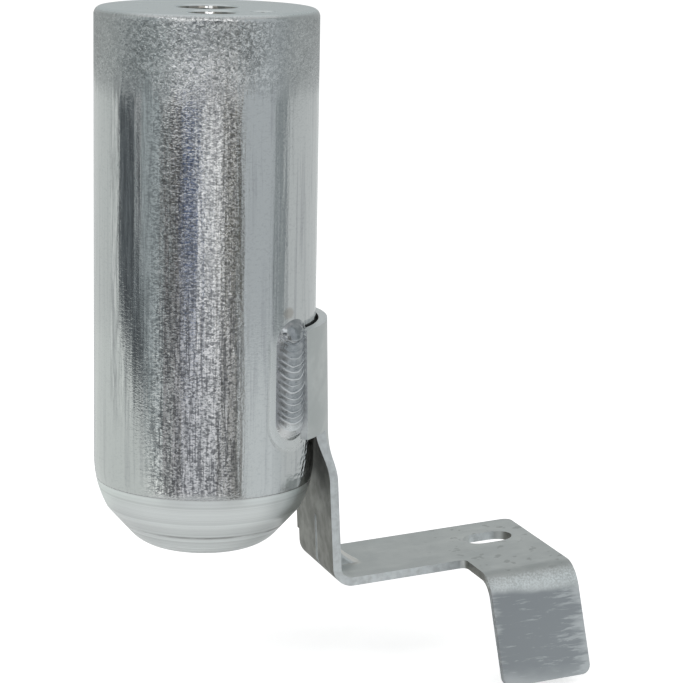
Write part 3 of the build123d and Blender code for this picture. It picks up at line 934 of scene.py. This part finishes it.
def makeBag():
    # padded felt: the CAD lobes remeshed, rounded and dented, with a stitched seam down each lobe
    low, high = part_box("desiccant_bag")
    source = nodes["desiccant_bag"]
    material = source.data.materials[0]
    piece = bpy.data.objects.new("feltBag", source.data.copy())
    scene.collection.objects.link(piece)
    remesh = piece.modifiers.new("remesh", "REMESH")
    remesh.mode = "VOXEL"
    remesh.voxel_size = bag["voxel"]
    rounding = piece.modifiers.new("round", "SMOOTH")
    rounding.factor = 0.5
    rounding.iterations = bag["rounding"]
    made = plainMesh(piece, "feltBag")
    piece.modifiers.clear()
    piece.data = made
    normals = [vertex.normal.copy() for vertex in made.vertices]
    for vertex, normal in zip(made.vertices, normals):
        dent = sum(noise.noise(vertex.co * scale) * strength for scale, strength in bag["dents"])
        seam = exp(-((vertex.co.x / bag["seamWidth"]) ** 2)) if abs(vertex.co.y) > high.y * 0.6 else 0.0
        share = bag["evenSink"] + dent * bag["dentSink"] + seam * bag["seamSink"]
        vertex.co -= normal * bag["sink"] * share
    made.shade_smooth()
    dress(piece, material)
    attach(piece, "root")
    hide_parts("desiccant_bag")
    seamLength = bag["gap"] * (bag["stitches"] - 1)
    for name, side in (("bagStitchesFar", -1), ("bagStitchesNear", 1)):
        start = Vector((0.0, side * (high.y - bag["stitchSink"]), (low.z + high.z) / 2 - seamLength / 2))
        repeat(bar(*bag["stitch"]), name, material, start,
               {"Count": bag["stitches"], "Radius": 0.0, "Turn": 0.0, "Rise": bag["gap"]})


makeScreen()
makeTieRibs()
makeBag()
print("inner pieces made")


# floor, studio tent, lamps and camera

studio = {
    "floorDrop": 0.6 * mm,
    "floorTone": (0.93, 0.93, 0.93),
    "floorHalf": 4.0,
    "floorGlow": 0.50,
    "worldStrength": 0.62,
    "tentRadius": 0.28,
    "tentFoot": 0.13,
    "footBelow": 2 * mm,
    "panelLift": 0.2 * mm,
    "panelSteps": 12,
}

# each panel: tint, then its borders as (height, left azimuth, right azimuth) from top to bottom
tentPanels = [
    ("highLeft", (0.46, 0.48, 0.475), [(0.30, -165, -111), (-0.048, -165, -111)]),
    ("paleLeft", (0.73, 0.755, 0.74), [(-0.048, -165, -111), (-0.140, -165, -110), (-0.160, -165, -99)]),
    ("lowLeft", (0.80, 0.83, 0.805), [(-0.160, -165, -99), (-0.176, -165, -89), (-0.197, -165, -75),
                                      (-0.2175, -165, -58), (-0.2295, -165, -49)]),
    ("darkLeft", (0.13, 0.145, 0.155), [(-0.042, -111, -87), (-0.140, -110, -83), (-0.160, -99, -74),
                                        (-0.176, -89, -73), (-0.188, -81, -73)]),
    ("greyLeft", (0.38, 0.42, 0.43), [(0.30, -87, -54.5), (-0.140, -83, -54.5), (-0.160, -74, -54.5),
                                      (-0.188, -73, -54.5), (-0.197, -75, -54.5), (-0.2175, -58, -54.5)]),
    ("highCentre", (1.6, 1.6, 1.6), [(0.30, -24, 14), (0.10, -24, 14)]),
    ("highCentreLeft", (0.50, 0.52, 0.52), [(0.30, -54.5, -24), (0.10, -54.5, -24)]),
    ("highCentreRight", (0.50, 0.52, 0.52), [(0.30, 14, 17), (0.10, 14, 17)]),
    ("overDark", (0.95, 0.96, 0.96), [(0.10, -54.5, -20), (-0.042, -54.5, -20)]),
    ("overSoftbox", (0.16, 0.17, 0.18), [(0.10, -20, 3.7), (-0.042, -20, 3.7)]),
    ("overBrown", (0.90, 0.90, 0.89), [(0.10, 3.7, 17), (-0.042, 3.7, 18)]),
    ("overLeft", (0.55, 0.58, 0.58), [(0.30, -111, -87), (-0.042, -111, -87)]),
    ("greyRight", (0.60, 0.63, 0.65), [(0.30, 17, 57), (-0.135, 20, 56), (-0.165, 24, 56)]),
    ("lowRight", (0.80, 0.83, 0.84), [(-0.165, 24, 56), (-0.2295, 26, 56)]),
    ("lineRight", (0.34, 0.37, 0.38), [(0.30, 57, 70), (-0.165, 56, 70)]),
    ("lowLineRight", (0.70, 0.73, 0.74), [(-0.165, 56, 70), (-0.2295, 56, 70)]),
    ("highRight", (0.46, 0.48, 0.48), [(0.30, 70, 195), (-0.048, 70, 195)]),
    ("paleRight", (0.70, 0.72, 0.72), [(-0.048, 70, 195), (-0.2295, 70, 195)]),
]

# stripes in front: left and right azimuth, right one at the floor, tint, tint of the low part
stripes = [
    ("brownDark", -54.5, -37, -37, (0.12, 0.115, 0.11), (0.30, 0.30, 0.305)),
    ("navy", -37, -20, -20, (0.11, 0.145, 0.24), (0.56, 0.57, 0.60)),
    ("softbox", -20, 3.7, 3.7, (1.0, 1.0, 1.0), (0.55, 0.56, 0.58)),
    ("brown", 3.7, 20, 25, (0.13, 0.125, 0.105), (0.27, 0.27, 0.26)),
]
for name, left, right, footRight, tint, lowTint in stripes:
    tentPanels.append((name, tint, [(-0.042, left, right), (-0.135, left, right)]))
    tentPanels.append((name + "Low", lowTint, [(-0.135, left, right), (-0.165, left, footRight - 1),
                                               (-0.2295, left, footRight)]))


def makeTent():
    low = cadBox[0].z - studio["floorDrop"]
    for name, tint, rows in tentPanels:
        mesh = bmesh.new()
        grid = []
        rings = [(studio["tentRadius"], *row) for row in rows]
        if rows[-1][0] < low + studio["footBelow"]:
            rings.append((studio["tentFoot"], *rows[-1]))
        for reach, height, left, right in rings:
            row, z = [], max(height, low + studio["panelLift"])
            for index in range(studio["panelSteps"] + 1):
                angle = radians(left + (right - left) * index / studio["panelSteps"])
                row.append(mesh.verts.new((reach * cos(angle), reach * sin(angle), z)))
            grid.append(row)
        for upper, lower in zip(grid, grid[1:]):
            for a, b, c, d in zip(upper, upper[1:], lower[1:], lower):
                mesh.faces.new((a, b, c, d))
        data = bpy.data.meshes.new(name)
        mesh.to_mesh(data)
        mesh.free()
        panel = bpy.data.objects.new(name, data)
        scene.collection.objects.link(panel)
        finish = Finish(name + "Light")
        glow = finish.node("ShaderNodeEmission", {}, {"Color": (*tint, 1.0), "Strength": 1.0})
        finish.node("ShaderNodeOutputMaterial", {}, {"Surface": glow})
        finish.owner.cycles.emission_sampling = "NONE"
        dress(panel, finish.owner)
        for ray in ("camera", "diffuse", "transmission", "volume_scatter", "shadow"):
            setattr(panel, "visible_" + ray, False)


def makeFloor():
    z = cadBox[0].z - studio["floorDrop"]
    mesh = bpy.data.meshes.new("floor")
    half = studio["floorHalf"]
    mesh.from_pydata([(-half, -half, z), (half, -half, z), (half, half, z), (-half, half, z)], [], [(0, 1, 2, 3)])
    floorPlane = bpy.data.objects.new("floor", mesh)
    scene.collection.objects.link(floorPlane)
    finish = Finish("floorPaper")
    paper = finish.node("ShaderNodeBsdfDiffuse", {}, {"Color": (*studio["floorTone"], 1.0)})
    glow = finish.node("ShaderNodeEmission", {}, {"Color": (1, 1, 1, 1),
                                                  "Strength": finish.seen() * studio["floorGlow"]})
    both = finish.node("ShaderNodeAddShader", {}, {0: paper, 1: glow})
    finish.node("ShaderNodeOutputMaterial", {}, {"Surface": both})
    dress(floorPlane, finish.owner)


def makeWorld():
    sky = Finish("studioWorld", bpy.data.worlds)
    strength = studio["worldStrength"] + sky.seen() * (1.0 - studio["worldStrength"])
    background = sky.node("ShaderNodeBackground", {}, {"Color": (1, 1, 1, 1), "Strength": strength})
    sky.node("ShaderNodeOutputWorld", {}, {"Surface": background})
    scene.world = sky.owner


lamps = [
    # name, place, size, power
    ("keyLamp", (0.55, -0.75, 0.75), 0.6, 4.0),
    ("fillLamp", (0.6, 0.9, 0.6), 0.8, 3.0),
]


def makeLamps():
    target = (cadBox[0] + cadBox[1]) / 2
    for name, place, size, power in lamps:
        light = bpy.data.lights.new(name, "AREA")
        light.size = size
        light.energy = power
        lamp = bpy.data.objects.new(name, light)
        scene.collection.objects.link(lamp)
        lamp.location = place
        lamp.rotation_euler = (target - Vector(place)).to_track_quat("-Z", "Y").to_euler()


camera = {
    "place": (0.85263, -0.23375, 0.06319),
    "turn": (78.667, -0.995, 71.820),
    "lens": 138.08,
    "sensor": 36.0,
    "clip": (0.01, 50.0),
}


def makeCamera():
    data = bpy.data.cameras.new("photoCamera")
    data.lens = camera["lens"]
    data.sensor_width = camera["sensor"]
    data.clip_start, data.clip_end = camera["clip"]
    view = bpy.data.objects.new("photoCamera", data)
    scene.collection.objects.link(view)
    view.location = camera["place"]
    view.rotation_euler = [radians(angle) for angle in camera["turn"]]
    scene.camera = view


makeFloor()
makeTent()
makeWorld()
makeLamps()
makeCamera()
print("studio made")
